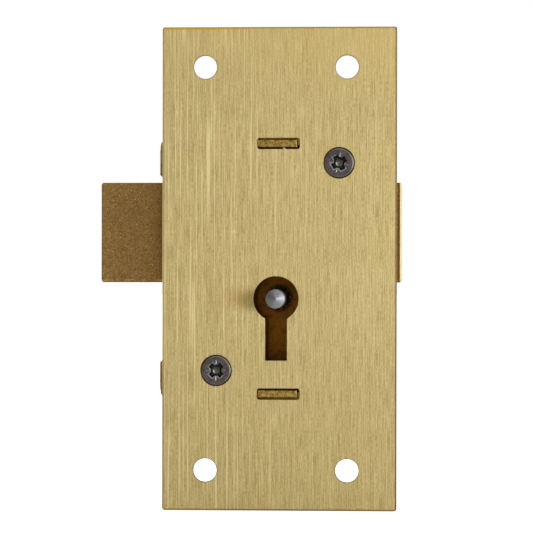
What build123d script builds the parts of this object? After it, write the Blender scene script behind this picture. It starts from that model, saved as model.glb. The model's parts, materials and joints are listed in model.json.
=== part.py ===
from build123d import *
import os

# Cabinet lock with a flat face plate, a folded case and a bolt that shoots through either side.
# X runs across the plate, Y runs from the door into the lock, Z is up, all in millimetres.
# The origin is the middle of the four fixing holes, on the face of the plate that meets the door.

# Face plate
plate_width = 36.4
plate_height = 75.0
plate_thickness = 2.0
plate_corner_radius = 0.4
plate_edge_break = 0.25
plate_shift = 0.5
fixing_hole_diameter = 3.6
fixing_spacing_x = 22.0
fixing_spacing_z = 62.5
fixing_sink_diameter = 6.8
sink_angle = 90

# Key way and drill pin
key_x = 0.0
key_z = -4.65
keyhole_diameter = 7.0
keyhole_slot_width = 3.4
key_reach = 9.6
key_clearance = 0.3
pin_diameter = 3.0
pin_proud = 3.5
pin_point = 0.5
pin_sink_diameter = 4.4
pin_sink_depth = 0.4

# Folded case
sheet = 1.25
case_height = 40.9
case_inner_depth = 9.75
bend_radius = 1.6
fold_gap = 0.1
tab_length = 6.45
tab_chamfer = 0.6
tab_back_relief = 2.0
tenon_width = 6.25
tenon_joggle = 0.4
tenon_recess = 0.35
tenon_chamfer = 0.12
tenon_x = 0.15
slot_play_x = 0.4
slot_play_z = 0.5
slot_corner_radius = 0.4

# Bolt
bolt_tail_proud = 1.25
bolt_foot_above_key = 2.5
bolt_pillar_gap = 0.67
bolt_lever_gap = 0.25
bolt_travel = 8.5
bolt_corner_radius = 0.4
bolt_edge_break = 0.2
bolt_running_gap = 0.1
talon_width = 5.0
talon_roof = 2.05
talon_mouth_radius = 0.8
talon_crown_radius = 0.5
web_above_key = 6.2
stump_width = 2.4
stump_corner_radius = 0.3
stump_shank_diameter = 1.8
stump_end_gap = 0.2

# Levers
lever_count = 4
lever_thickness = 0.95
lever_gap = 0.15
lever_drop_angle = 7.0
lever_front_gap = 0.2
pivot_side_gap = 0.6
pivot_z = -4.4
pivot_diameter = 2.4
pivot_running_gap = 0.05
pivot_shoulder_diameter = 3.2
pivot_shoulder_gap = 0.1
lever_boss_radius = 2.4
lever_corner_radius = 1.5
lever_nose = 4.6
lever_shoulder = 5.1
lever_end_room = 6.3
lever_above_stump = 4.7
lever_below_stump = 5.2
window_gap = 0.3
belly_radii = (7.4, 6.8, 7.6, 7.1)

# Lever springs
spring_leaf = 0.22
spring_width = 0.7
spring_fit = 0.05
spring_root_inset = 2.3
spring_root_depth = 1.2
spring_tip_inset = 2.3
spring_bow_radius = 0.9
spring_tip_gap = 0.12

# Screws, pillars and riveted ends
upper_screw_x = 9.75
upper_screw_inset = 2.78
lower_screw_x = -9.3
lower_screw_inset = 3.41
upper_screw_turn = 30.0
lower_screw_turn = 45.0
screw_diameter = 2.5
screw_length = 7.0
screw_head_diameter = 4.6
screw_face_break = 0.25
screw_face_fall = 0.1
screw_rim = 0.12
screw_sink_diameter = 4.92
screw_seat_gap = 0.03
screw_hole_play = 0.3
screw_thread_gap = 0.03
recess_span = 2.2
recess_wing = 0.66
recess_core_diameter = 1.7
recess_depth = 1.2
wing_taper = 6
core_taper = 12
recess_lip = 0.08
pillar_diameter = 4.4
pillar_bore_depth = 8.0
rivet_shank_diameter = 2.2
rivet_head_diameter = 3.6
rivet_head_height = 0.55
rivet_head_chamfer = 0.35
rivet_fit = 0.03

# Levels through the lock, measured from the face of the plate
plate_back = plate_thickness
case_floor = plate_back + case_inner_depth
case_back = case_floor + sheet
lever_pack_front = plate_back + lever_front_gap
lever_pitch = lever_thickness + lever_gap
lever_pack_back = lever_pack_front + lever_count * lever_pitch - lever_gap
pivot_shoulder = lever_pack_back + pivot_shoulder_gap
bolt_front = lever_pack_back + bolt_lever_gap
bolt_back = case_floor - bolt_running_gap
bolt_thickness = bolt_back - bolt_front
pin_seat = case_floor + pin_sink_depth

# Places that several pieces share
case_width = plate_width
bolt_length = case_width + bolt_travel + 2 * bolt_tail_proud
end_wall_inner = case_height / 2 - sheet
tenon_z = case_height / 2 - tenon_joggle - sheet / 2
upper_screw_z = end_wall_inner - upper_screw_inset
lower_screw_z = lower_screw_inset - end_wall_inner
side_wall_outer = case_width / 2 - sheet - fold_gap
side_wall_inner = side_wall_outer - sheet
pivot_x = side_wall_inner - pivot_side_gap - lever_boss_radius
bolt_x = -bolt_travel / 2
bolt_top = upper_screw_z - pillar_diameter / 2 - bolt_pillar_gap
bolt_foot = key_z + bolt_foot_above_key
bolt_height = bolt_top - bolt_foot
bolt_z = (bolt_top + bolt_foot) / 2
lever_top = end_wall_inner - lever_end_room
stump_z = lever_top - lever_above_stump
lever_left = -bolt_travel / 2 - lever_nose
lever_right = bolt_travel / 2 + lever_shoulder
lever_foot = stump_z - lever_below_stump
spring_root_x = lever_right - spring_root_inset
spring_tip_x = lever_left + spring_tip_inset
web_edge = key_z + web_above_key
talon_top = stump_z - stump_shank_diameter / 2 - talon_roof
key_swing = key_reach + key_clearance
riveted_places = (
    (key_x, key_z),
    (pivot_x, pivot_z),
    (upper_screw_x, upper_screw_z),
    (lower_screw_x, lower_screw_z),
)

os.makedirs("parts", exist_ok=True)


def layer(depth):
    """Plane parallel to the plate at this depth, with X to the right and Z up."""
    return Plane.XZ.offset(-depth)


def half_section(x, z):
    """Plane through a turned piece at x, z, with its radius along X and its length along Y."""
    return Plane(origin=(x, 0, z), x_dir=(1, 0, 0), z_dir=(0, 0, 1))


def lathe_axis(x, z):
    """Centre line of a turned piece at x, z."""
    return Axis((x, 0, z), (0, 1, 0))


def save(piece, name):
    """Label one finished piece and write it under its own name."""
    piece.part.label = name
    export_step(piece.part, f"parts/{name}.step")


def riveted_end(seat):
    """Half outline of a shank that starts at its seat and ends in a chamfered head outside the back."""
    shank = rivet_shank_diameter / 2
    head = rivet_head_diameter / 2
    crown = case_back + rivet_head_height
    return (
        (shank, seat),
        (shank, case_back),
        (head, case_back),
        (head, crown - rivet_head_chamfer),
        (head - rivet_head_chamfer, crown),
        (0, crown),
    )


# Face plate, pierced for the key, the case tenons, the cap screws and the wood screws
def make_front_plate():
    with BuildPart() as front_plate:
        with BuildSketch(layer(0)):
            with Locations((plate_shift, 0)):
                RectangleRounded(plate_width, plate_height, plate_corner_radius)
        extrude(amount=-plate_thickness)
        chamfer(front_plate.faces().sort_by(Axis.Y)[0].outer_wire().edges(), plate_edge_break)
        with Locations(Plane(origin=(0, plate_back, 0), x_dir=(1, 0, 0), z_dir=(0, 1, 0))):
            with GridLocations(fixing_spacing_x, fixing_spacing_z, 2, 2):
                CounterSinkHole(
                    radius=fixing_hole_diameter / 2,
                    counter_sink_radius=fixing_sink_diameter / 2,
                    counter_sink_angle=sink_angle,
                )
        with Locations(layer(0)):
            with Locations((upper_screw_x, upper_screw_z), (lower_screw_x, lower_screw_z)):
                CounterSinkHole(
                    radius=(screw_diameter + screw_hole_play) / 2,
                    counter_sink_radius=screw_sink_diameter / 2,
                    counter_sink_angle=sink_angle,
                )
        with BuildSketch(layer(0)):
            with Locations((key_x, key_z)):
                Circle(keyhole_diameter / 2)
            with Locations((key_x, key_z - key_reach / 2)):
                Rectangle(keyhole_slot_width, key_reach)
            with Locations((tenon_x + slot_play_x / 2, tenon_z), (tenon_x + slot_play_x / 2, -tenon_z)):
                RectangleRounded(tenon_width + slot_play_x, sheet + slot_play_z, slot_corner_radius)
        extrude(amount=-plate_thickness, mode=Mode.SUBTRACT)
    save(front_plate, "front_plate")


# Case folded from one sheet: back, sides, end walls with tenons, and tabs that wrap the corners
def make_case():
    tab_edge = case_height / 2 - tab_length
    with BuildPart() as case:
        with BuildSketch(layer(plate_back)):
            Rectangle(2 * side_wall_outer, case_height)
        extrude(amount=-(case_inner_depth + sheet))
        fillet(case.faces().sort_by(Axis.Y)[-1].edges(), bend_radius)
        with BuildSketch(layer(plate_back)):
            Rectangle(2 * side_wall_inner, 2 * end_wall_inner)
        extrude(amount=-case_inner_depth, mode=Mode.SUBTRACT)

        with BuildSketch(layer(plate_back)) as wrap:
            Rectangle(case_width, case_height)
            fillet(wrap.vertices(), bend_radius)
            Rectangle(case_width - 2 * sheet, 2 * end_wall_inner, mode=Mode.SUBTRACT)
            Rectangle(case_width, 2 * tab_edge, mode=Mode.SUBTRACT)
            free_ends = wrap.vertices().filter_by(
                lambda v: abs(v.X) > case_width / 2 - fold_gap and abs(v.Z) < tab_edge + fold_gap
            )
            chamfer(free_ends, tab_chamfer)
        extrude(amount=-(case_inner_depth + sheet - tab_back_relief))

        with BuildSketch(layer(plate_back)):
            with Locations((tenon_x, tenon_z), (tenon_x, -tenon_z)):
                Rectangle(tenon_width, sheet)
        extrude(amount=plate_thickness - tenon_recess)
        chamfer(case.faces().group_by(Axis.Y)[0].edges(), tenon_chamfer)

        with BuildSketch(Plane.YZ):
            with Locations(((bolt_front + case_floor - bolt_running_gap) / 2, bolt_z)):
                Rectangle(bolt_thickness + 2 * bolt_running_gap, bolt_height + 2 * bolt_running_gap)
        extrude(amount=case_width / 2, both=True, mode=Mode.SUBTRACT)

        with BuildSketch(layer(case_floor)):
            with Locations(*riveted_places):
                Circle(rivet_shank_diameter / 2 + rivet_fit)
        extrude(amount=-sheet, mode=Mode.SUBTRACT)
        with BuildSketch(layer(case_floor)):
            with Locations((key_x, key_z)):
                Circle(pin_sink_diameter / 2)
        extrude(amount=-pin_sink_depth, mode=Mode.SUBTRACT)
    save(case, "case")


# Pin that a pipe key slides over, riveted through the back of the case
def make_drill_pin():
    radius = pin_diameter / 2
    with BuildPart() as drill_pin:
        with BuildSketch(half_section(key_x, key_z)):
            with BuildLine():
                Polyline(
                    (0, -pin_proud),
                    (radius, pin_point - pin_proud),
                    (radius, pin_seat),
                    *riveted_end(pin_seat),
                    close=True,
                )
            make_face()
        revolve(axis=lathe_axis(key_x, key_z))
    save(drill_pin, "drill_pin")


# Stepped post that the levers turn on
def make_lever_pivot():
    journal = pivot_diameter / 2
    shoulder = pivot_shoulder_diameter / 2
    nose = plate_back + pivot_running_gap
    break_edge = pivot_shoulder_gap * 2
    with BuildPart() as lever_pivot:
        with BuildSketch(half_section(pivot_x, pivot_z)):
            with BuildLine():
                Polyline(
                    (0, nose),
                    (journal - break_edge, nose),
                    (journal, nose + break_edge),
                    (journal, pivot_shoulder),
                    (shoulder, pivot_shoulder),
                    (shoulder, case_floor),
                    *riveted_end(case_floor),
                    close=True,
                )
            make_face()
        revolve(axis=lathe_axis(pivot_x, pivot_z))
    save(lever_pivot, "lever_pivot_post")


# Pillar between case and plate, tapped for a cap screw
def make_pillar(name, x, z):
    body = pillar_diameter / 2
    bore = screw_diameter / 2 + screw_thread_gap
    bore_end = plate_back + pillar_bore_depth
    with BuildPart() as pillar:
        with BuildSketch(half_section(x, z)):
            with BuildLine():
                Polyline(
                    (0, bore_end),
                    (bore, bore_end),
                    (bore, plate_back),
                    (body, plate_back),
                    (body, case_floor),
                    *riveted_end(case_floor),
                    close=True,
                )
            make_face()
        revolve(axis=lathe_axis(x, z))
    save(pillar, name)


# Countersunk screw with a cross recess round a sunk core
def make_cap_screw(name, x, z, turn):
    head = screw_head_diameter / 2
    shank = screw_diameter / 2
    seat_start = screw_sink_diameter / 2 - head - screw_seat_gap
    face = seat_start - screw_rim
    end = face + screw_length
    with BuildPart() as screw:
        with BuildSketch(half_section(x, z)):
            with BuildLine():
                Polyline(
                    (0, face),
                    (head - screw_face_break, face),
                    (head, face + screw_face_fall),
                    (head, seat_start),
                    (shank, seat_start + head - shank),
                    (shank, end),
                    (0, end),
                    close=True,
                )
            make_face()
        revolve(axis=lathe_axis(x, z))
        with BuildSketch(layer(face)):
            with Locations(Location((x, z, 0), turn)):
                Rectangle(recess_span, recess_wing)
                Rectangle(recess_wing, recess_span)
        extrude(amount=-recess_depth, taper=wing_taper, mode=Mode.SUBTRACT)
        with BuildSketch(layer(face)):
            with Locations((x, z)):
                Circle(recess_core_diameter / 2)
        extrude(amount=-recess_depth, taper=core_taper, mode=Mode.SUBTRACT)
        chamfer(screw.faces().sort_by(Axis.Y)[0].inner_wires()[0].edges(), recess_lip)
    save(screw, name)


# Cast bolt, relieved under its middle for the swing of the key, with the notch the key pushes
def make_bolt():
    with BuildPart() as bolt:
        with BuildSketch(layer(bolt_front)):
            with Locations((bolt_x, bolt_z)):
                RectangleRounded(bolt_length, bolt_height, bolt_corner_radius)
        extrude(amount=-bolt_thickness)
        chamfer(bolt.faces().filter_by(Axis.Y).edges(), bolt_edge_break)
        with BuildSketch(layer(bolt_front)) as relief:
            with Locations((bolt_x, key_z)):
                SlotCenterToCenter(bolt_travel, 2 * key_swing)
            with Locations((bolt_x, web_edge - bolt_height / 2)):
                Rectangle(bolt_length, bolt_height, mode=Mode.INTERSECT)
            with Locations((bolt_x, (web_edge + talon_top) / 2)):
                Rectangle(talon_width, talon_top - web_edge)
            mouth = relief.vertices().filter_by(
                lambda v: abs(v.Z - web_edge) < talon_crown_radius and abs(v.X - bolt_x) < talon_width
            )
            fillet(mouth, talon_mouth_radius)
            crown = relief.vertices().group_by(Axis.Z)[-1]
            fillet(crown, talon_crown_radius)
        extrude(amount=-bolt_thickness, mode=Mode.SUBTRACT)
        with BuildSketch(layer(bolt_front)):
            with Locations((bolt_x, stump_z)):
                Circle(stump_shank_diameter / 2 + rivet_fit)
        extrude(amount=-bolt_thickness, mode=Mode.SUBTRACT)
    save(bolt, "bolt")


# Square stump riveted to the bolt, which the lever windows trap
def make_bolt_stump():
    with BuildPart() as stump:
        with BuildSketch(layer(plate_back + stump_end_gap)):
            with Locations((bolt_x, stump_z)):
                RectangleRounded(stump_width, stump_width, stump_corner_radius)
        extrude(amount=-(bolt_front - plate_back - stump_end_gap))
        with BuildSketch(layer(bolt_front)):
            with Locations((bolt_x, stump_z)):
                Circle(stump_shank_diameter / 2)
        extrude(amount=-bolt_thickness)
    save(stump, "bolt_stump")


def lever_front(index):
    """Depth of the front face of one lever, counted from the plate."""
    return lever_pack_front + index * lever_pitch


def stump_in_lever(x):
    """Where the stump lies in a lifted lever's own outline once that lever has dropped."""
    arm = Vector(x - pivot_x, stump_z - pivot_z)
    return Vector(pivot_x, pivot_z) + arm.rotate(Axis.Z, -lever_drop_angle)


# Lever, drawn as the key holds it, with its gate level with the stump
def make_lever(index):
    front = lever_front(index)
    clear_width = stump_width + 2 * window_gap
    corner = lever_corner_radius
    with BuildPart() as lever:
        with BuildSketch(layer(front)):
            with Locations((pivot_x, pivot_z)):
                Circle(lever_boss_radius)
            with Locations(
                (lever_right - corner, lever_top - corner),
                (lever_left + corner, lever_top - corner),
                (lever_left + corner, lever_foot + corner),
            ):
                Circle(corner)
            make_hull()
            with Locations((key_x, key_z)):
                Circle(belly_radii[index], mode=Mode.SUBTRACT)
            with Locations((pivot_x, pivot_z)):
                Circle(pivot_diameter / 2 + pivot_running_gap, mode=Mode.SUBTRACT)
        extrude(amount=-lever_thickness)
        with BuildSketch(layer(front)):
            with Locations((0, stump_z)):
                Rectangle(bolt_travel + clear_width, clear_width)
        extrude(amount=-lever_thickness, mode=Mode.SUBTRACT)
        for stump_x in (-bolt_travel / 2, bolt_travel / 2):
            dropped = stump_in_lever(stump_x)
            with BuildSketch(layer(front)):
                with Locations((stump_x, stump_z)):
                    Rectangle(clear_width, clear_width)
                with Locations(Location((dropped.X, dropped.Y, 0), -lever_drop_angle)):
                    Rectangle(clear_width, clear_width)
                make_hull()
            extrude(amount=-lever_thickness, mode=Mode.SUBTRACT)
        with BuildSketch(layer(front)):
            with Locations((spring_root_x, lever_top - spring_root_depth / 2)):
                Rectangle(spring_leaf + 2 * spring_fit, spring_root_depth)
        extrude(amount=-lever_thickness, mode=Mode.SUBTRACT)
    save(lever, f"lever_{index + 1}")


# Leaf spring, pinched in a slit in its lever and bearing on the upper end wall
def make_lever_spring(index):
    front = lever_front(index) + (lever_thickness - spring_width) / 2
    crest = end_wall_inner - spring_tip_gap - spring_leaf / 2
    root = (spring_root_x, lever_top - spring_root_depth + spring_fit + spring_leaf / 2)
    neck = (spring_root_x, lever_top + spring_leaf)
    shoulder = (spring_root_x - spring_bow_radius, neck[1] + spring_bow_radius)
    curl = (spring_tip_x - spring_bow_radius, crest - spring_leaf * 2)
    with BuildPart() as spring:
        with BuildSketch(layer(front)):
            with BuildLine():
                stem = Line(root, neck)
                TangentArc(neck, shoulder, tangent=stem % 1)
                TangentArc((spring_tip_x, crest), shoulder, tangent=(1, 0))
                TangentArc((spring_tip_x, crest), curl, tangent=(-1, 0))
            trace(line_width=spring_leaf)
        extrude(amount=-spring_width)
    save(spring, f"lever_spring_{index + 1}")


make_front_plate()
make_case()
make_drill_pin()
make_lever_pivot()
make_pillar("upper_pillar", upper_screw_x, upper_screw_z)
make_pillar("lower_pillar", lower_screw_x, lower_screw_z)
make_cap_screw("upper_cap_screw", upper_screw_x, upper_screw_z, upper_screw_turn)
make_cap_screw("lower_cap_screw", lower_screw_x, lower_screw_z, lower_screw_turn)
make_bolt()
make_bolt_stump()
for lever_index in range(lever_count):
    make_lever(lever_index)
    make_lever_spring(lever_index)
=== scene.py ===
import json
import math
import random
import bpy
from mathutils import Matrix, Vector


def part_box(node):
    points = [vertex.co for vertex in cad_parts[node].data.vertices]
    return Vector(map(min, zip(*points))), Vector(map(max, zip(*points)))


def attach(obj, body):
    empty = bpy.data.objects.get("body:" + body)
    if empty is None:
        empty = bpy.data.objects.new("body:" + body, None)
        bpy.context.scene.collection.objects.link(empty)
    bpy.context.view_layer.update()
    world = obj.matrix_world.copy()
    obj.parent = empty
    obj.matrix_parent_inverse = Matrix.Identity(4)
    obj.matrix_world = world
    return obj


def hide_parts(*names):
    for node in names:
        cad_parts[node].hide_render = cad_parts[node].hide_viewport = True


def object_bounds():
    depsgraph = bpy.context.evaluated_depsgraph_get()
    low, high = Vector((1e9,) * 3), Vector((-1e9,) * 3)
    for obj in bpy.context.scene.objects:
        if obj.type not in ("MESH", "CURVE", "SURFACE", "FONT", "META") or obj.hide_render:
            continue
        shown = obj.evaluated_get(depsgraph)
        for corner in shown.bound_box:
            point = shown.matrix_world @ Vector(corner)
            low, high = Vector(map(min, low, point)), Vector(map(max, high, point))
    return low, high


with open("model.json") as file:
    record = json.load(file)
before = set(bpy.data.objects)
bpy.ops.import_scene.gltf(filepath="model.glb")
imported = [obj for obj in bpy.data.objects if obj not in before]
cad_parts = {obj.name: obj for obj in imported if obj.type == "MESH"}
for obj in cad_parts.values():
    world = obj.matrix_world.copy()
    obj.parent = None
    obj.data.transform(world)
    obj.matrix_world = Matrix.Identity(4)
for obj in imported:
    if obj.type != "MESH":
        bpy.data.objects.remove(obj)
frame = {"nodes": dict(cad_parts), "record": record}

# Looks of the cabinet lock: finishes for its brass, bronze and steel pieces, studio light and camera.
# Everything is in metres, with X to the right, Y into the lock and Z up.
cad_low, cad_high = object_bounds()
mm = 0.001
nodes = frame["nodes"]
record = frame["record"]
mounts = {mount["name"]: mount for mount in record["mounts"]}


def centre(node):
    """Middle of a node in X and Z."""
    low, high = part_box(node)
    return (low.x + high.x) / 2, (low.z + high.z) / 2


def linear(text):
    """Linear colour of a six-digit screen colour."""
    parts = [int(text[i:i + 2], 16) / 255 for i in (0, 2, 4)]
    return tuple(p / 12.92 if p <= 0.04045 else ((p + 0.055) / 1.055) ** 2.4 for p in parts) + (1.0,)


plate_low, plate_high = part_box("front_plate")
plate_back = plate_high.y
bolt_low, bolt_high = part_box("bolt")
_, case_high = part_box("case")
sheet = 1.25 * mm
case_floor = case_high.y - sheet
key_x, key_z = centre("drill_pin")
screw_bowl = 0.56 * mm
# Struck ticks of each cap screw: angle in degrees, brightness and half width in mm
screw_ticks = {
    "upper_cap_screw": ((81, 0.55, 0.16), (179, 0.4, 0.24), (254, 0.75, 0.14), (345, 0.45, 0.09)),
    "lower_cap_screw": ((88, 0.55, 0.14), (182, 0.3, 0.14), (269, 0.9, 0.15), (2, 0.3, 0.12)),
}


class Nodes:
    """Node tree, with short ways to add nodes and join them."""

    def __init__(self, tree):
        self.tree = tree

    def feed(self, socket, value):
        """Give a socket either another node's output or a plain value."""
        if isinstance(value, bpy.types.NodeSocket):
            self.tree.links.new(value, socket)
        else:
            socket.default_value = value

    def add(self, kind, **values):
        """New node with its settings."""
        node = self.tree.nodes.new(kind)
        for key, value in values.items():
            setattr(node, key, value)
        return node

    def level(self, value, low, high, out_low=0.0, out_high=1.0, kind="SMOOTHSTEP"):
        """Value stretched so that low to high becomes out_low to out_high."""
        node = self.add("ShaderNodeMapRange", clamp=True, interpolation_type=kind)
        self.feed(node.inputs["Value"], value)
        node.inputs["From Min"].default_value = low
        node.inputs["From Max"].default_value = high
        node.inputs["To Min"].default_value = out_low
        node.inputs["To Max"].default_value = out_high
        return node.outputs["Result"]

    def sum(self, first, second, operation="ADD"):
        """Two values joined by a simple operation."""
        node = self.add("ShaderNodeMath", operation=operation)
        self.feed(node.inputs[0], first)
        self.feed(node.inputs[1], second)
        return node.outputs[0]

    def plain(self, kind, colour):
        """Shader of one plain colour."""
        node = self.add(kind)
        node.inputs["Color"].default_value = colour
        return node

    def choose(self, share, first, second):
        """First shader where the share is 0, second where it is 1."""
        node = self.add("ShaderNodeMixShader")
        self.feed(node.inputs["Fac"], share)
        self.feed(node.inputs[1], first.outputs[0])
        self.feed(node.inputs[2], second.outputs[0])
        return node.outputs[0]


class Finish(Nodes):
    """One procedural material of the lock."""

    def __init__(self, name, metallic=1.0):
        self.material = bpy.data.materials.new(name)
        self.material.use_nodes = True
        super().__init__(self.material.node_tree)
        self.shader = self.tree.nodes["Principled BSDF"]
        self.shader.inputs["Metallic"].default_value = metallic
        self.place = self.add("ShaderNodeTexCoord").outputs["Object"]
        split = self.add("ShaderNodeSeparateXYZ")
        self.feed(split.inputs[0], self.place)
        self.x, self.y, self.z = split.outputs

    def scaled(self, size, shift, turn=(0, 0, 0)):
        """Object coordinates in units of size, which is one for all axes or one for each."""
        node = self.add("ShaderNodeMapping", vector_type="TEXTURE")
        self.feed(node.inputs["Vector"], self.place)
        node.inputs["Scale"].default_value = (size, size, size) if isinstance(size, float) else size
        node.inputs["Location"].default_value = shift
        node.inputs["Rotation"].default_value = turn
        return node.outputs["Vector"]

    def noise(self, size, detail=3.0, roughness=0.5, shift=(0, 0, 0), turn=(0, 0, 0)):
        """Noise whose grain has this size."""
        node = self.add("ShaderNodeTexNoise")
        self.feed(node.inputs["Vector"], self.scaled(size, shift, turn))
        node.inputs["Scale"].default_value = 1.0
        node.inputs["Detail"].default_value = detail
        node.inputs["Roughness"].default_value = roughness
        return node.outputs["Fac"]

    def cells(self, size, shift=(0, 0, 0)):
        """Distance to scattered points, about one for each size."""
        node = self.add("ShaderNodeTexVoronoi")
        self.feed(node.inputs["Vector"], self.scaled(size, shift))
        node.inputs["Scale"].default_value = 1.0
        return node.outputs["Distance"]

    def mix(self, factor, first, second):
        """First colour where the factor is 0, second where it is 1."""
        node = self.add("ShaderNodeMix", data_type="RGBA")
        self.feed(node.inputs[0], factor)
        self.feed(node.inputs[6], first)
        self.feed(node.inputs[7], second)
        return node.outputs[2]

    def blend(self, value, low, high, first, second, kind="SMOOTHSTEP"):
        """First screen colour that turns into the second as the value goes from low to high."""
        return self.mix(self.level(value, low, high, kind=kind), linear(first), linear(second))

    def tint(self, colour, mask, paint, share=None):
        """Colour with a screen colour or another colour over it where the mask is on."""
        if share is not None:
            mask = self.sum(mask, share, "MULTIPLY")
        return self.mix(mask, colour, linear(paint) if isinstance(paint, str) else paint)

    def weighted(self, *pairs):
        """Sum of values, each times its weight."""
        total = 0.0
        for value, weight in pairs:
            node = self.add("ShaderNodeMath", operation="MULTIPLY_ADD")
            self.feed(node.inputs[0], value)
            node.inputs[1].default_value = weight
            self.feed(node.inputs[2], total)
            total = node.outputs[0]
        return total

    def both(self, *masks):
        """Mask that is on only where all of these are."""
        total = masks[0]
        for mask in masks[1:]:
            total = self.sum(total, mask, "MULTIPLY")
        return total

    def within(self, value, low, high, soft):
        """Mask that is 1 between two values, with a soft border."""
        rise = self.level(value, low - soft, low + soft)
        fall = self.level(value, high - soft, high + soft, 1, 0)
        return self.both(rise, fall)

    def bump(self, height, depth, normal=None):
        """Surface relief of this depth in metres."""
        node = self.add("ShaderNodeBump")
        node.inputs["Distance"].default_value = depth
        node.inputs["Strength"].default_value = 1.0
        self.feed(node.inputs["Height"], height)
        if normal is not None:
            self.feed(node.inputs["Normal"], normal)
        return node.outputs["Normal"]

    def soft_edge(self, radius):
        """Normal that is rounded over edges."""
        bevel = self.add("ShaderNodeBevel", samples=6)
        bevel.inputs["Radius"].default_value = radius
        return bevel.outputs["Normal"]

    def edges(self, radius):
        """Mask that is 1 on edges and corners within radius, and 0 on open faces."""
        dot = self.add("ShaderNodeVectorMath", operation="DOT_PRODUCT")
        self.feed(dot.inputs[0], self.soft_edge(radius))
        self.feed(dot.inputs[1], self.add("ShaderNodeNewGeometry").outputs["Normal"])
        return self.level(dot.outputs["Value"], 0.98, 0.8)

    def length(self, first, second):
        """Length of a vector with these two parts."""
        join = self.add("ShaderNodeCombineXYZ")
        self.feed(join.inputs[0], first)
        self.feed(join.inputs[1], second)
        size = self.add("ShaderNodeVectorMath", operation="LENGTH")
        self.feed(size.inputs[0], join.outputs[0])
        return size.outputs["Value"]

    def around(self, x, z):
        """Distance of a point from an axis along Y through x, z."""
        return self.length(self.sum(self.x, x, "SUBTRACT"), self.sum(self.z, z, "SUBTRACT"))

    def size(self, value):
        """Value without its sign."""
        node = self.add("ShaderNodeMath", operation="ABSOLUTE")
        self.feed(node.inputs[0], value)
        return node.outputs[0]

    def stroke(self, x, z, angle, start, end, half_width):
        """Mask of a soft line that leaves the point x, z at an angle."""
        cos, sin = math.cos(angle), math.sin(angle)
        along = self.sum(self.weighted((self.x, cos), (self.z, sin)), x * cos + z * sin, "SUBTRACT")
        aside = self.sum(self.weighted((self.x, -sin), (self.z, cos)), z * cos - x * sin, "SUBTRACT")
        line = self.level(self.size(aside), half_width, 0.3 * half_width)
        return self.both(line, self.within(along, start, end, 0.1 * mm))

    def finish(self, colour, roughness, normal):
        """Join the results to the shader."""
        self.feed(self.shader.inputs["Base Color"], colour)
        self.feed(self.shader.inputs["Roughness"], roughness)
        self.feed(self.shader.inputs["Normal"], normal)
        return self.material


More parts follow.
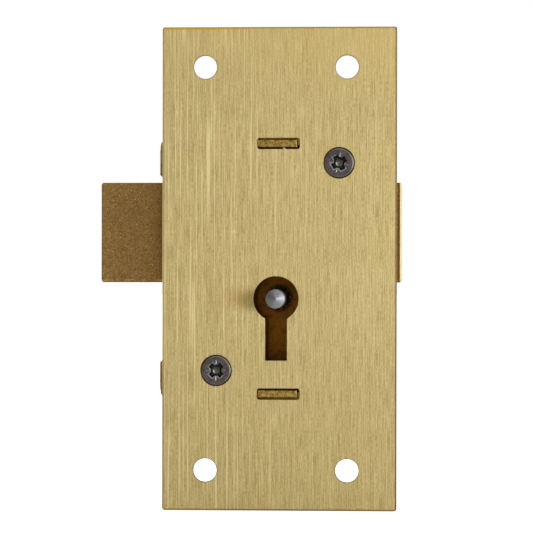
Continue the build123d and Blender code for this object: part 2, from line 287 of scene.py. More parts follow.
# Brass brushed along the plate, with gold and brown edges, brown inside its openings
def make_plate_brass():
    f = Finish("plate_brass")
    mark = f.noise((0.14 * mm, 0.14 * mm, 0.5 * mm), detail=1)
    fine = f.noise((0.14 * mm, 0.14 * mm, 3.2 * mm), detail=1, shift=(3 * mm, 0, 7 * mm))
    long = f.noise((0.16 * mm, 0.16 * mm, 13 * mm), detail=1, shift=(9 * mm, 0, 2 * mm))
    band = f.noise((0.9 * mm, 0.9 * mm, 34 * mm), detail=1, shift=(1 * mm, 5 * mm, 0))
    cloud = f.noise((9 * mm, 9 * mm, 12 * mm), detail=2, shift=(4 * mm, 0, 1 * mm))
    lines = f.weighted((mark, 0.32), (fine, 0.42), (long, 0.26))
    shade = f.weighted((lines, 0.93), (band, 0.05), (cloud, 0.02))
    # Painted light: the brass is lighter and its streaks calmer towards the top
    painted_light_from = 24 * mm
    dark = f.blend(f.z, painted_light_from, plate_high.z, "98804a", "ac9258")
    light = f.blend(f.z, painted_light_from, plate_high.z, "dac88e", "d9c587")
    colour = f.mix(f.level(shade, 0.325, 0.675, kind="LINEAR"), dark, light)
    streak = f.noise((0.22 * mm, 0.22 * mm, 24 * mm), detail=0, shift=(2 * mm, 0, 5 * mm))
    bright = f.both(f.level(streak, 0.6, 0.72, 0, 0.6), f.level(f.x, 4 * mm, -9 * mm, 0.3, 1))
    colour = f.tint(colour, bright, "e4d6a2")
    speck = f.cells(2.3 * mm, shift=(1 * mm, 0, 1 * mm))
    colour = f.tint(colour, f.level(speck, 0.05, 0.025, 0, 0.55), "8a6c3c")
    scratch = f.stroke(-9.8 * mm, 33.9 * mm, math.radians(38), 0, 3.8 * mm, 0.09 * mm)
    colour = f.tint(colour, scratch, "d8bc62", 0.5)
    # Edges, painted to stand in for their highlights and shade: gold on top, dark gold at the foot,
    # brown on the right, brown to bright going up on the left
    ragged = f.sum(mark, 0.12 * mm, "MULTIPLY")
    ragged_x = f.sum(f.x, ragged)
    ragged_z = f.sum(f.z, ragged)
    slope = f.level(f.x, plate_low.x + 6 * mm, plate_low.x + 16 * mm, -0.16 * mm, 0)
    sloped_z = f.sum(ragged_z, slope, "SUBTRACT")
    top = f.level(sloped_z, plate_high.z - 0.22 * mm, plate_high.z - 0.14 * mm)
    foot = f.level(ragged_z, plate_low.z + 0.36 * mm, plate_low.z + 0.2 * mm)
    right = f.level(ragged_x, plate_high.x - 0.24 * mm, plate_high.x - 0.17 * mm)
    left = f.level(ragged_x, plate_low.x + 0.3 * mm, plate_low.x + 0.16 * mm)
    colour = f.tint(colour, top, "c29a34", 0.9)
    colour = f.tint(colour, foot, "b08436", 0.9)
    colour = f.tint(colour, right, "5c4a2c", 0.9)
    colour = f.tint(colour, left, f.blend(f.z, -26 * mm, -6 * mm, "a5854a", "ffe29c"), 0.95)
    # Painted shade on the rims of the fixing holes, and brown painted shade in the sinks of the cap
    # screws
    across = f.size(f.x)
    along = f.size(f.z)
    holes = mounts["fixing_holes"]["dims"]
    hole = holes["hole_r_mm"] * mm
    reach = f.length(
        f.sum(across, holes["spacing_x_mm"] / 2 * mm, "SUBTRACT"),
        f.sum(along, holes["spacing_y_mm"] / 2 * mm, "SUBTRACT"),
    )
    colour = f.tint(colour, f.level(reach, hole + 0.16 * mm, hole + 0.06 * mm, 0, 0.75), "80602a")
    sink_outer, sink_inner = 2.5 * mm, 2.42 * mm
    for screw in screw_ticks:
        sink = f.level(f.around(*centre(screw)), sink_outer, sink_inner, 0, 0.95)
        colour = f.tint(colour, sink, "6e3e10")
    # Painted brown shadow of the drill pin on the left of the keyhole
    painted_pin_shadow = f.both(
        f.level(f.x, key_x - 12 * mm, key_x - 4 * mm, 0, 0.42),
        f.level(f.size(f.sum(f.z, key_z + 0.1 * mm, "SUBTRACT")), 2.6 * mm, 0.2 * mm),
        f.level(f.x, key_x - 1 * mm, key_x - 2 * mm),
    )
    colour = f.tint(colour, painted_pin_shadow, "aa8434")
    # Walls of the openings: painted shade in dark brown in the keyhole and red brown in the slots, with
    # painted highlights at the slots' right ends
    opening_x, opening_z, border = 4.4 * mm, 21.5 * mm, 0.2 * mm
    openings = f.both(
        f.level(across, opening_x, opening_x - border),
        f.level(along, opening_z, opening_z - border),
        f.within(f.y, 0.05 * mm, plate_back - 0.1 * mm, 0.03 * mm),
    )
    keyhole_end, slot_start, slot_right = 16 * mm, 17 * mm, 3 * mm
    slots = f.level(along, keyhole_end, slot_start)
    walls = f.mix(slots, linear("2c1a08"), linear("8c4a16"))
    walls = f.tint(walls, f.both(slots, f.level(f.x, slot_right, slot_right + border)), "e0c070")
    colour = f.tint(colour, openings, walls, 0.95)
    brushed = f.add("ShaderNodeTangent", direction_type="RADIAL", axis="Z")
    f.feed(f.shader.inputs["Tangent"], brushed.outputs["Tangent"])
    f.shader.inputs["Anisotropic"].default_value = 0.8
    rough = f.level(lines, 0.3, 0.7, 0.42, 0.52)
    return f.finish(colour, rough, f.bump(lines, 0.003 * mm, f.soft_edge(0.07 * mm)))


# Sheet brass of the case, dull from rolling and handling, brown inside
def make_case_brass():
    f = Finish("case_brass")
    roll = f.noise((4 * mm, 4 * mm, 0.25 * mm), detail=3, roughness=0.6)
    blot = f.noise(5 * mm, detail=4, roughness=0.6, shift=(2 * mm, 0, 0))
    spot = f.noise(0.6 * mm, detail=3, shift=(0, 3 * mm, 0))
    grit = f.noise(0.16 * mm, detail=2, shift=(0, 1 * mm, 0))
    scuff = f.noise((0.08 * mm, 3 * mm, 3 * mm), detail=2, turn=(0, 0.7, 0.3))
    nick = f.noise((0.07 * mm, 4 * mm, 1.2 * mm), detail=1, turn=(0, 0.6, 0), shift=(1 * mm, 0, 0))
    colour = f.blend(roll, 0.35, 0.65, "a98a48", "c4a761")
    colour = f.tint(colour, f.level(blot, 0.45, 0.7, 0, 0.4), "93733a")
    colour = f.tint(colour, f.level(spot, 0.62, 0.75, 0, 0.4), "6f5226")
    colour = f.tint(colour, f.level(nick, 0.7, 0.76, 0, 0.5), "e0c886")
    colour = f.tint(colour, f.edges(0.15 * mm), "d9bd78", 0.55)
    # Mottled ends of the tenons, with lit upper rims and lit right ends
    border = 0.04 * mm
    mottle = f.noise((0.24 * mm, 0.3 * mm, 0.45 * mm), detail=3, shift=(0, 0, 0.4 * mm))
    mottled = f.blend(mottle, 0.36, 0.64, "80652a", "bb9d58")
    upper_tenon = f.within(f.z, 19.8 * mm, 20.2 * mm, border)
    lower_tenon = f.within(f.z, -18.97 * mm, -18.7 * mm, border)
    rims = f.both(f.sum(upper_tenon, lower_tenon), f.level(mottle, 0.42, 0.56))
    mottled = f.tint(mottled, rims, "d8b450", 0.8)
    mottled = f.tint(mottled, f.within(f.x, 3.1 * mm, 3.4 * mm, border), "dcc890", 0.85)
    colour = f.tint(colour, f.level(f.y, 0.9 * mm, 0.7 * mm), mottled)
    # Cut edges of the corner tabs beside the plate
    across = f.size(f.x)
    cut = f.both(
        f.level(across, case_high.x - 1.5 * mm, case_high.x - 1.2 * mm),
        f.within(f.y, plate_back - 0.1 * mm, plate_back + 0.2 * mm, 0.05 * mm),
    )
    colour = f.tint(colour, cut, f.blend(spot, 0.4, 0.6, "704a14", "a07826"), 0.8)
    # Brown inside the case: a painted shade, with grit and spots in it
    side_wall = case_high.x - 2 * sheet
    end_wall = case_high.z - sheet
    inner = f.both(
        f.level(across, side_wall + 0.05 * mm, side_wall - 0.05 * mm),
        f.level(f.size(f.z), end_wall + 0.1 * mm, end_wall + 0.05 * mm),
        f.within(f.y, plate_back + 0.1 * mm, case_floor + 0.1 * mm, 0.05 * mm),
    )
    painted_inside_shade = f.blend(blot, 0.35, 0.65, "845319", "9a6425")
    painted_inside_shade = f.tint(painted_inside_shade, f.level(grit, 0.4, 0.7, 0, 0.3), "5a380c")
    painted_inside_shade = f.tint(painted_inside_shade, f.level(spot, 0.5, 0.7, 0, 0.5), "3c2208")
    colour = f.tint(colour, inner, painted_inside_shade)
    foot = f.around(key_x, key_z)
    well_floor = f.level(f.y, case_floor, case_floor + 0.02 * mm)
    well = f.both(f.level(foot, 2.26 * mm, 2.24 * mm), well_floor)
    colour = f.tint(colour, well, painted_inside_shade)
    # Painted shade along the rim of the keyhole, in a ring round the pin and a band beside the throat
    # below it
    throat = key_z - 2.9 * mm, key_z - 2.5 * mm
    ring = f.both(
        f.level(f.around(key_x + 0.2 * mm, key_z), 3.4 * mm, 4 * mm),
        f.level(f.z, throat[0], throat[1]),
    )
    band = f.both(
        f.level(f.x, key_x - 1.55 * mm, key_x - 1.9 * mm),
        f.level(f.z, throat[1], throat[0]),
    )
    colour = f.tint(colour, f.both(inner, f.sum(ring, band, "MAXIMUM")), "36240a", 0.62)
    # Painted shade with painted glints of brass round the foot of the pin
    glint = f.cells(0.28 * mm, shift=(0, 0, 0.1 * mm))
    painted_shade_and_glints = f.blend(glint, 0.32, 0.14, "382b15", "c0a244")
    uneven = f.sum(foot, f.sum(spot, 0.7 * mm, "MULTIPLY"))
    deep = f.level(f.y, case_floor - 0.05 * mm, case_floor - 0.03 * mm)
    colour = f.tint(colour, f.both(deep, f.level(uneven, 2.5 * mm, 2.3 * mm)), painted_shade_and_glints)
    rough = f.sum(f.level(blot, 0.35, 0.7, 0.34, 0.5), f.level(scuff, 0.6, 0.75, 0, 0.1))
    height = f.weighted((roll, 0.4), (spot, 0.6))
    return f.finish(colour, rough, f.bump(height, 0.012 * mm, f.soft_edge(0.1 * mm)))


# Bronze of the bolt, cast and blasted
def make_bolt_bronze():
    f = Finish("bolt_bronze")
    tone = f.noise(6 * mm, detail=2)
    grit = f.noise(0.17 * mm, detail=2, roughness=0.6)
    coarse = f.noise(0.5 * mm, detail=2, shift=(3 * mm, 0, 1 * mm))
    fleck = f.cells(0.65 * mm)
    pit = f.cells(0.6 * mm, shift=(1 * mm, 2 * mm, 0))
    shade = f.weighted((grit, 0.78), (coarse, 0.14), (tone, 0.08))
    colour = f.blend(shade, 0.32, 0.68, "6c5026", "ba965c", kind="LINEAR")
    colour = f.tint(colour, f.level(pit, 0.2, 0.1, 0, 0.55), "4a3213")
    colour = f.tint(colour, f.level(fleck, 0.17, 0.09, 0, 0.85), "e6c67c")
    # Painted shade in red brown beside the plate on the left, a painted highlight line above the foot,
    # painted shade on the upper and lower edges
    painted_plate_shade = f.level(f.x, plate_low.x - 2.4 * mm, plate_low.x, 0, 0.35)
    colour = f.tint(colour, f.both(painted_plate_shade, f.level(f.x, -4 * mm, -15 * mm)), "7a4a1c")
    line = f.within(f.z, bolt_low.z + 0.2 * mm, bolt_low.z + 0.42 * mm, 0.05 * mm)
    colour = f.tint(colour, f.both(line, f.level(coarse, 0.4, 0.6)), "c6a05a")
    upper = f.level(f.z, bolt_high.z - 0.16 * mm, bolt_high.z - 0.04 * mm, 0, 0.6)
    colour = f.tint(colour, upper, "7a5a2b")
    lower = f.level(f.z, bolt_low.z + 0.2 * mm, bolt_low.z + 0.1 * mm, 0, 0.7)
    colour = f.tint(colour, lower, "4f3514")
    # Tail on the right of the plate: painted shade up to a painted highlight at its end
    tail = f.within(f.x, plate_high.x + 0.1 * mm, bolt_high.x - 0.36 * mm, 0.06 * mm)
    colour = f.tint(colour, tail, "6a4218", 0.6)
    end = f.level(f.x, bolt_high.x - 0.32 * mm, bolt_high.x - 0.22 * mm, 0, 0.85)
    colour = f.tint(colour, end, "e8d4a2")
    rough = f.level(grit, 0.3, 0.7, 0.5, 0.66)
    return f.finish(colour, rough, f.bump(grit, 0.03 * mm, f.soft_edge(0.15 * mm)))


# Bright steel with marks from turning
def make_pin_steel():
    f = Finish("pin_steel")
    pin_low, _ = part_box("drill_pin")
    reach = f.around(key_x, key_z)
    mark_width = 0.05 * mm
    marks = f.add("ShaderNodeTexNoise", noise_dimensions="1D")
    f.feed(marks.inputs["W"], f.sum(reach, 1 / mark_width, "MULTIPLY"))
    marks.inputs["Scale"].default_value = 1.0
    marks.inputs["Detail"].default_value = 2.0
    rust = f.noise(0.5 * mm, detail=3)
    grain = f.noise(0.1 * mm, detail=2)
    turned = f.weighted((marks.outputs["Fac"], 0.6), (grain, 0.4))
    colour = f.blend(turned, 0.3, 0.7, "77787a", "a6a8ab")
    colour = f.tint(colour, f.level(rust, 0.52, 0.75, 0, 0.4), "a48c72")
    # Darker in the pip, and a painted tan reflection above it
    colour = f.tint(colour, f.level(reach, 0.15 * mm, 0.08 * mm, 0, 0.85), "4a3a34")
    painted_tan_reflection = f.level(f.around(key_x - 0.45 * mm, key_z + 0.8 * mm), 0.6 * mm, 0.2 * mm, 0, 0.5)
    colour = f.tint(colour, painted_tan_reflection, "a8906c")
    # Painted highlight towards the right of the point, painted shade towards its left and on the round
    # side
    aside = f.sum(f.sum(f.x, key_x, "SUBTRACT"), f.sum(reach, 0.05 * mm), "DIVIDE")
    colour = f.tint(colour, f.level(aside, 0.4, 1.0, 0, 0.3), "ccd0d4")
    colour = f.tint(colour, f.level(aside, 0.3, -0.9, 0, 0.55), "4c4b4a")
    flank = f.level(f.y, pin_low.y + 0.46 * mm, pin_low.y + 0.5 * mm, 0, 0.8)
    colour = f.tint(colour, flank, "5c5956")
    grooves = f.add("ShaderNodeTangent", direction_type="RADIAL", axis="Y")
    f.feed(f.shader.inputs["Tangent"], grooves.outputs["Tangent"])
    f.shader.inputs["Anisotropic"].default_value = 0.6
    f.shader.inputs["Anisotropic Rotation"].default_value = 0.25
    rough = f.level(turned, 0.3, 0.7, 0.44, 0.54)
    return f.finish(colour, rough, f.bump(turned, 0.004 * mm))


# Dark plated steel of the cap screws, with a painted highlight on the rim of the head and a gold fleck
# in the recess
def make_screw_steel():
    f = Finish("screw_steel")
    blot = f.noise(0.7 * mm, detail=4, roughness=0.6)
    grit = f.noise(0.16 * mm, detail=3)
    colour = f.blend(blot, 0.38, 0.62, "4b4442", "615856")
    colour = f.tint(colour, f.level(grit, 0.45, 0.75, 0, 0.5), "767974")
    rough = f.level(blot, 0.3, 0.7, 0.34, 0.46)
    for screw, ticks in screw_ticks.items():
        x, z = centre(screw)
        reach = f.around(x, z)
        for angle, strength, half_width in ticks:
            tick = f.stroke(x, z, math.radians(angle), 1.05 * mm, 1.55 * mm, half_width * mm)
            colour = f.tint(colour, tick, "b9bcba", strength)
        # Rim of the head with a painted highlight from the upper right, and painted brown shade in the
        # gap round it
        rim = f.within(reach, 2.08 * mm, 2.22 * mm, 0.03 * mm)
        gap = f.within(reach, 2.29 * mm, 2.6 * mm, 0.03 * mm)
        facing = f.level(f.sum(f.sum(f.x, f.z), x + z, "SUBTRACT"), -1 * mm, 2.8 * mm, 0.15, 0.6)
        colour = f.tint(colour, f.both(rim, facing), "969b93")
        colour = f.tint(colour, gap, "5a300c", 0.9)
        # Bowl of the recess: dull, with a cold and a warm painted highlight arc, a painted shadow above
        # and a gold fleck
        bowl = f.level(reach, screw_bowl + 0.02 * mm, screw_bowl - 0.02 * mm)
        colour = f.tint(colour, bowl, "6a685a", 0.85)
        for inner_radius, aside, above, paint, share in (
            (0.34 * mm, -0.37 * mm, -0.22 * mm, "b9bec2", 0.85),
            (0.36 * mm, 0.25 * mm, -0.35 * mm, "9c9468", 0.6),
        ):
            arc = f.both(
                f.within(reach, inner_radius, 0.5 * mm, 0.05 * mm),
                f.level(f.around(x + aside, z + above), 0.34 * mm, 0.16 * mm),
            )
            colour = f.tint(colour, arc, paint, share)
        shadow = f.both(bowl, f.level(f.z, z + 0.1 * mm, z + 0.4 * mm, 0, 0.6))
        colour = f.tint(colour, shadow, "35332a")
        fleck = f.level(f.around(x + 0.13 * mm, z - 0.14 * mm), 0.18 * mm, 0.07 * mm)
        colour = f.tint(colour, fleck, "b07c26")
        rough = f.mix(bowl, rough, (0.62, 0.62, 0.62, 1))
    return f.finish(colour, rough, f.bump(grit, 0.008 * mm, f.soft_edge(0.03 * mm)))


# Steel where the plating is worn off, bluish to tan
def make_bare_steel():
    f = Finish("screw_bare")
    tone = f.noise(0.5 * mm, detail=2)
    grit = f.noise(0.1 * mm, detail=3)
    colour = f.blend(tone, 0.5, 0.64, "b4bfc7", "b8a07e")
    colour = f.tint(colour, f.level(grit, 0.4, 0.7, 0, 0.5), "77736f")
    rough = f.level(grit, 0.3, 0.7, 0.38, 0.55)
    return f.finish(colour, rough, f.bump(grit, 0.01 * mm, f.soft_edge(0.02 * mm)))


# Darker steel in the recess of a screw, a painted shade
def make_black_recess():
    f = Finish("screw_recess", metallic=0.1)
    grit = f.noise(0.12 * mm, detail=3)
    colour = f.blend(grit, 0.35, 0.65, "2c2922", "48443a")
    return f.finish(colour, f.level(grit, 0.3, 0.7, 0.55, 0.75), f.bump(grit, 0.01 * mm))


# Clean brass or bronze of turned and stamped inner pieces
def make_inner_brass(name, dark, light, rough_low):
    f = Finish(name)
    grain = f.noise((0.15 * mm, 3 * mm, 3 * mm), detail=3, turn=(0, 0, 0.4))
    blot = f.noise(2 * mm, detail=3)
    colour = f.blend(grain, 0.35, 0.65, dark, light)
    colour = f.tint(colour, f.level(blot, 0.5, 0.7, 0, 0.4), "8f6e35")
    colour = f.tint(colour, f.edges(0.1 * mm), "e2cb8e", 0.6)
    rough = f.level(blot, 0.3, 0.7, rough_low, rough_low + 0.12)
    return f.finish(colour, rough, f.bump(grain, 0.006 * mm, f.soft_edge(0.06 * mm)))


finishes = {
    "plate_brass": make_plate_brass(),
    "case_brass": make_case_brass(),
    "bolt_bronze": make_bolt_bronze(),
    "pin_steel": make_pin_steel(),
    "screw_steel": make_screw_steel(),
    "turned_brass": make_inner_brass("turned_brass", dark="b4974f", light="d2b872", rough_low=0.26),
    "lever_brass": make_inner_brass("lever_brass", dark="b39a58", light="cdb578", rough_low=0.32),
    "spring_bronze": make_inner_brass("spring_bronze", dark="9a6f38", light="bb8e50", rough_low=0.28),
}
bare_steel = make_bare_steel()
black_recess = make_black_recess()
for part in record["subparts"]:
    node = nodes[part["node"]]
    node.data.materials.clear()
    node.data.materials.append(finishes[part["material_slot"]])


def skin(name, x, z, angles, rings, materials, coat=lambda gap, angle: 0):
    """Closed piece round an axis along Y. Each ring lists a radius and a depth for every angle,
    and the first and last ring are single points given by their depth."""
    start, *middle, end = rings
    points = [(x, start, z)]
    for ring in middle:
        for (radius, depth), angle in zip(ring, angles):
            points.append((x + radius * math.cos(angle), depth, z + radius * math.sin(angle)))
    points.append((x, end, z))
    count = len(angles)
    faces = []
    coats = []
    for k in range(count):
        after = (k + 1) % count
        between = angles[k] + ((angles[after] - angles[k]) % (2 * math.pi)) / 2
        faces.append((0, 1 + k, 1 + after))
        coats.append(coat(0, between))
        for row in range(len(middle) - 1):
            near = 1 + row * count
            far = near + count
            faces.append((near + k, far + k, far + after, near + after))
            coats.append(coat(row + 1, between))
        last = 1 + (len(middle) - 1) * count
        faces.append((last + k, len(points) - 1, last + after))
        coats.append(0)
    mesh = bpy.data.meshes.new(name)
    mesh.from_pydata(points, [], faces)
    for material in materials:
        mesh.materials.append(material)
    for face, index in zip(mesh.polygons, coats):
        face.material_index = index
    mesh.shade_smooth()
    mesh.set_sharp_from_angle(angle=math.radians(32))
    mesh.update()
    piece = bpy.data.objects.new(name, mesh)
    bpy.context.scene.collection.objects.link(piece)
    return piece


def full_turn(count):
    """Evenly spread angles."""
    return [2 * math.pi * k / count for k in range(count)]


# Cap screw with a cross recess, lips worn bright by the driver and four struck ticks
def make_cap_screw(name, node, turn, seed, wear):
    x, z = centre(node)
    low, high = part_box(node)
    face = low.y
    head = (high.x - low.x) / 2
    shank = 1.25 * mm
    seat = face + 0.12 * mm
    half_span, half_wing, core = 1.24 * mm, 0.44 * mm, 0.86 * mm
    wing_floor = face + 0.85 * mm
    bowl_rim = face + 0.5 * mm
    ticks = [angle for angle, _, _ in screw_ticks[node]]
    tick_end = 1.63 * mm
    tick_depth = 0.05 * mm
    tick_half = 4.2
    most_worn = math.radians(210)
    bare_from = 0.42

    # Angles, dense at the corners of the recess and at the ticks, without any that nearly coincide
    wing_angles = [0, 6, 12, 17.4, 18.9, 20.1, 22, 24.2, 26.8, 28.9, 31, 35, 40, 45]
    degrees = {
        turn + 90 * quarter + side * angle
        for quarter in range(4) for side in (1, -1) for angle in wing_angles
    }
    degrees |= {tick + step * tick_half for tick in ticks for step in (-1, -0.5, 0, 0.5, 1)}
    degrees = sorted({round(angle % 360, 2) for angle in degrees})
    following = degrees[1:] + [degrees[0] + 360]
    angles = [math.radians(angle) for angle, after in zip(degrees, following) if after - angle > 0.35]
    draw = random.Random(seed)
    phases = [draw.uniform(0, 2 * math.pi) for _ in range(4)]

    def outline(angle, shrink, core_shrink):
        """Radius of the recess in one direction."""
        local = angle - math.radians(turn)
        across, along = abs(math.cos(local)), abs(math.sin(local))
        span, wing = half_span - shrink, half_wing - shrink
        tiny = 1e-6
        first = min(span / max(across, tiny), wing / max(along, tiny))
        second = min(wing / max(across, tiny), span / max(along, tiny))
        return max(first, second, core - core_shrink)

    def worn(angle):
        """How much the driver has worn this side, from 0 to 1."""
        wave = sum(math.sin((2 + 3 * k) * angle + phases[k]) for k in range(4)) / 4
        facing = 0.5 + 0.5 * math.cos(angle - most_worn)
        return min(1, max(0, 0.2 + 0.8 * facing + 0.25 * wave))

    def lip(angle, share):
        """Radius at a share of the lip's width."""
        wide = (0.02 + 0.08 * worn(angle)) * share * mm
        return outline(angle, -wide, -wide)

    def crest(angle):
        """Height of the lip that the driver has raised."""
        return (0.006 + wear * worn(angle)) * mm

    def struck(angle):
        """Depth of a tick in this direction."""
        off = min(abs((math.degrees(angle) - tick + 180) % 360 - 180) for tick in ticks)
        return tick_depth * max(0, 1 - off / tick_half)

    def shaped(point_of):
        """Ring whose radius and depth change with the angle."""
        return [point_of(angle) for angle in angles]

    def circle(radius, depth):
        return [(radius, depth)] * len(angles)

    rings = [
        bowl_rim + 0.2 * mm,
        circle(0.2 * screw_bowl, bowl_rim + 0.19 * mm),
        circle(0.55 * screw_bowl, bowl_rim + 0.13 * mm),
        circle(0.85 * screw_bowl, bowl_rim + 0.04 * mm),
        circle(screw_bowl, bowl_rim),
        shaped(lambda a: (outline(a, 0.08 * mm, 0.22 * mm), wing_floor)),
        shaped(lambda a: (outline(a, 0, 0), face + 0.04 * mm + struck(a))),
        shaped(lambda a: (lip(a, 0.35), face - crest(a) + struck(a))),
        shaped(lambda a: (lip(a, 1), face - crest(a) / 3 + struck(a))),
        shaped(lambda a: (lip(a, 1.4), face + struck(a))),
        shaped(lambda a: ((lip(a, 1.4) + tick_end) / 2, face + struck(a))),
        shaped(lambda a: (tick_end, face + struck(a) / 2)),
        circle(tick_end + 0.08 * mm, face),
        circle(1.9 * mm, face),
        circle(head - 0.27 * mm, face + 0.008 * mm),
        circle(head - 0.15 * mm, face + 0.03 * mm),
        circle(head - 0.04 * mm, face + 0.07 * mm),
        circle(head, seat),
        circle(head, seat + 0.01 * mm),
        circle(shank, seat + head - shank),
        circle(shank, high.y - 0.2 * mm),
        circle(shank - 0.2 * mm, high.y),
        high.y,
    ]
    coated, bare, black = range(3)
    recess_gaps, lip_gaps = (4, 5), (6, 7, 8)

    def coat(gap, angle):
        """Black, a painted shade, in the recess, bare on worn lips, plated elsewhere. Gap 0 is inside
        the first ring.
        """
        if gap in recess_gaps:
            return black
        return bare if gap in lip_gaps and worn(angle) > bare_from else coated

    piece = skin(name, x, z, angles, rings, (finishes["screw_steel"], bare_steel, black_recess), coat)
    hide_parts(node)
    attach(piece, "lock_case")


# Drill pin with a turned point, a pip at its centre and a hammered end behind the case
def make_drill_pin():
    low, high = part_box("drill_pin")
    dims = mounts["drill_pin_end"]["dims"]
    radius = dims["r_mm"] * mm
    tip = low.y
    point = 0.5 * mm
    seat = tip + point + dims["length_mm"] * mm
    rivet = (high.x - low.x) / 2
    shank = 1.1 * mm
    back = case_high.y
    groove = 0.004 * mm
    groove_steps = 26
    angles = full_turn(112)
    draw = random.Random(5)
    outline = [(0.05 * mm, tip + 0.07 * mm), (0.11 * mm, tip + 0.055 * mm)]
    for k in range(groove_steps + 1):
        share = 0.1 + 0.86 * k / groove_steps
        cut = groove * (1 if k % 2 else -1) * draw.uniform(0.4, 1)
        outline.append((radius * share, tip + point * share + cut))
    outline += [
        (radius - 0.015 * mm, tip + point - 0.005 * mm),
        (radius, tip + point + 0.02 * mm),
        (radius, tip + point + 3 * mm),
        (radius, seat),
        (shank, seat + 0.01 * mm),
        (shank, back + 0.005 * mm),
        (rivet - 0.06 * mm, back + 0.005 * mm),
        (rivet, back + 0.08 * mm),
        (rivet - 0.05 * mm, back + 0.22 * mm),
        (rivet - 0.3 * mm, high.y - 0.1 * mm),
        (rivet - 0.75 * mm, high.y - 0.02 * mm),
        (rivet - 1.2 * mm, high.y),
    ]
    rings = [tip + 0.08 * mm]
    rings += [[corner] * len(angles) for corner in outline]
    rings.append(high.y)
    piece = skin("drill_pin_turned", key_x, key_z, angles, rings, (finishes["pin_steel"],))
    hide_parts("drill_pin")
    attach(piece, "lock_case")


def make_burr(name, x, z, half_x, half_z, seed):
    """Flake of brass left by the punch on the edge of an opening of the plate."""
    angles = full_turn(24)
    draw = random.Random(seed)
    ragged = [draw.uniform(0.82, 1) for _ in angles]

    def ring(share, depth):
        """Ragged oval at a share of the full size."""
        points = []
        for angle, rough in zip(angles, ragged):
            oval = half_x * half_z / math.hypot(half_z * math.cos(angle), half_x * math.sin(angle))
            points.append((share * rough * oval, depth))
        return points

    rings = [
        0.015 * mm,
        ring(0.6, 0.02 * mm),
        ring(1, 0.05 * mm),
        ring(0.9, 0.1 * mm),
        ring(0.5, 0.13 * mm),
        0.135 * mm,
    ]
    piece = skin(name, x, z, angles, rings, (finishes["plate_brass"],))
    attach(piece, "lock_case")


make_burr("upper_slot_burr_1", -1.7 * mm, 20.18 * mm, half_x=0.09 * mm, half_z=0.17 * mm, seed=11)
make_burr("upper_slot_burr_2", 1.2 * mm, 18.66 * mm, half_x=0.24 * mm, half_z=0.18 * mm, seed=12)
make_burr("keyhole_burr", 0.02 * mm, -1.16 * mm, half_x=0.13 * mm, half_z=0.12 * mm, seed=13)
make_cap_screw("upper_cap_screw_worn", "upper_cap_screw", turn=31.0, seed=3, wear=0.05)
make_cap_screw("lower_cap_screw_worn", "lower_cap_screw", turn=45.0, seed=8, wear=0.04)
make_drill_pin()


def seen_in_mirror(tree, path):
    """1 for what is seen in or through a shiny surface, 0 for the rest."""
    return tree.sum(path["Is Glossy Ray"], path["Is Transmission Ray"], "MAXIMUM")


def make_world():
    """White backdrop behind the lock, softer room light in front, darker below and on the left."""
    world = bpy.data.worlds.new("studio")
    bpy.context.scene.world = world
    world.use_nodes = True
    studio = Nodes(world.node_tree)
    studio.tree.nodes.clear()
    white = studio.plain("ShaderNodeBackground", (1, 1, 1, 1))
    room = studio.plain("ShaderNodeBackground", (1, 1, 1, 1))
    split = studio.add("ShaderNodeSeparateXYZ")
    studio.feed(split.inputs[0], studio.add("ShaderNodeTexCoord").outputs["Generated"])
    right, behind, up = split.outputs
    steep = 0.9
    rise = studio.level(up, -steep, steep, 0.3, 0.66)
    side = studio.level(right, -steep, steep, 0.6, 1.4)
    studio.feed(room.inputs["Strength"], studio.sum(rise, side, "MULTIPLY"))
    path = studio.add("ShaderNodeLightPath").outputs
    backdrop = studio.sum(seen_in_mirror(studio, path), studio.level(behind, 0.25, 0.6), "MULTIPLY")
    shown = studio.sum(path["Is Camera Ray"], backdrop, "MAXIMUM")
    out = studio.add("ShaderNodeOutputWorld")
    studio.feed(out.inputs["Surface"], studio.choose(shown, room, white))


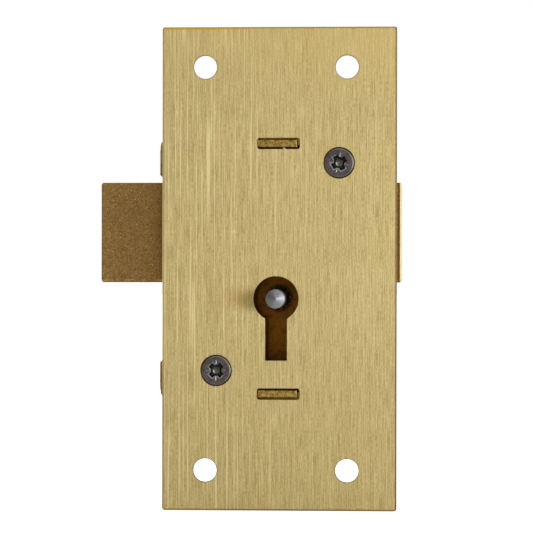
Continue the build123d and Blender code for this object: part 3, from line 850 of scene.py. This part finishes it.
def make_floor(height):
    """Floor just under the lock, which keeps its shadow: white with a glow of its own where it is seen,
    pale grey in the light that it throws back."""
    half = 3.0
    mesh = bpy.data.meshes.new("floor")
    corners = [(x, y, height) for x, y in ((-half, -half), (half, -half), (half, half), (-half, half))]
    mesh.from_pydata(corners, [], [(0, 1, 2, 3)])
    floor = bpy.data.objects.new("floor", mesh)
    bpy.context.scene.collection.objects.link(floor)
    material = bpy.data.materials.new("floor")
    material.use_nodes = True
    mesh.materials.append(material)
    ground = Nodes(material.node_tree)
    ground.tree.nodes.clear()
    path = ground.add("ShaderNodeLightPath").outputs
    white = ground.plain("ShaderNodeBsdfDiffuse", (1, 1, 1, 1))
    pale = ground.plain("ShaderNodeBsdfDiffuse", (0.6, 0.6, 0.6, 1))
    glow = ground.add("ShaderNodeEmission")
    strength = ground.level(path["Is Camera Ray"], 0, 1, 0.1, 0.8, kind="LINEAR")
    ground.feed(glow.inputs["Strength"], strength)
    glowing = ground.add("ShaderNodeAddShader")
    ground.feed(glowing.inputs[0], white.outputs[0])
    ground.feed(glowing.inputs[1], glow.outputs[0])
    shown = ground.sum(path["Is Camera Ray"], seen_in_mirror(ground, path), "MAXIMUM")
    out = ground.add("ShaderNodeOutputMaterial")
    ground.feed(out.inputs["Surface"], ground.choose(shown, pale, glowing))


def make_lamp(name, place, size, power):
    """Soft square lamp that faces the lock."""
    data = bpy.data.lights.new(name, "AREA")
    data.shape = "RECTANGLE"
    data.size, data.size_y = size
    data.energy = power
    lamp = bpy.data.objects.new(name, data)
    bpy.context.scene.collection.objects.link(lamp)
    lamp.location = place
    lamp.rotation_mode = "QUATERNION"
    lamp.rotation_quaternion = (-Vector(place)).to_track_quat("-Z", "Y")


make_world()
make_floor(cad_low.z - 0.1 * mm)
make_lamp("key", place=(0.44, -0.31, 0.04), size=(0.11, 0.16), power=1.2)
make_lamp("fill", place=(0.1, -0.62, 0.04), size=(0.3, 0.5), power=0.16)
make_lamp("top", place=(0.02, -0.12, 0.5), size=(0.4, 0.25), power=0.3)


def make_camera():
    """Camera that stands where the photograph was taken from."""
    azimuth = math.radians(2.949)
    elevation = math.radians(0.026)
    roll = math.radians(0.08)
    aim = Vector((-1.479 * mm, 0, 0.348 * mm))
    distance = 400 * mm
    focal_pixels = 2580.8
    picture_pixels = 533
    back = Vector((
        math.sin(azimuth) * math.cos(elevation),
        -math.cos(azimuth) * math.cos(elevation),
        math.sin(elevation),
    ))
    level_right = Vector((math.cos(azimuth), math.sin(azimuth), 0))
    level_up = back.cross(level_right)
    right = math.cos(roll) * level_right + math.sin(roll) * level_up
    up = math.cos(roll) * level_up - math.sin(roll) * level_right
    lens = bpy.data.cameras.new("camera")
    lens.sensor_width = 36
    lens.lens = focal_pixels / picture_pixels * lens.sensor_width
    lens.clip_start = 0.01
    lens.clip_end = 20
    camera = bpy.data.objects.new("camera", lens)
    bpy.context.scene.collection.objects.link(camera)
    turn = Matrix((right, up, back)).transposed()
    camera.matrix_world = Matrix.Translation(aim + back * distance) @ turn.to_4x4()
    bpy.context.scene.camera = camera


make_camera()
bpy.context.scene.view_settings.view_transform = "Standard"
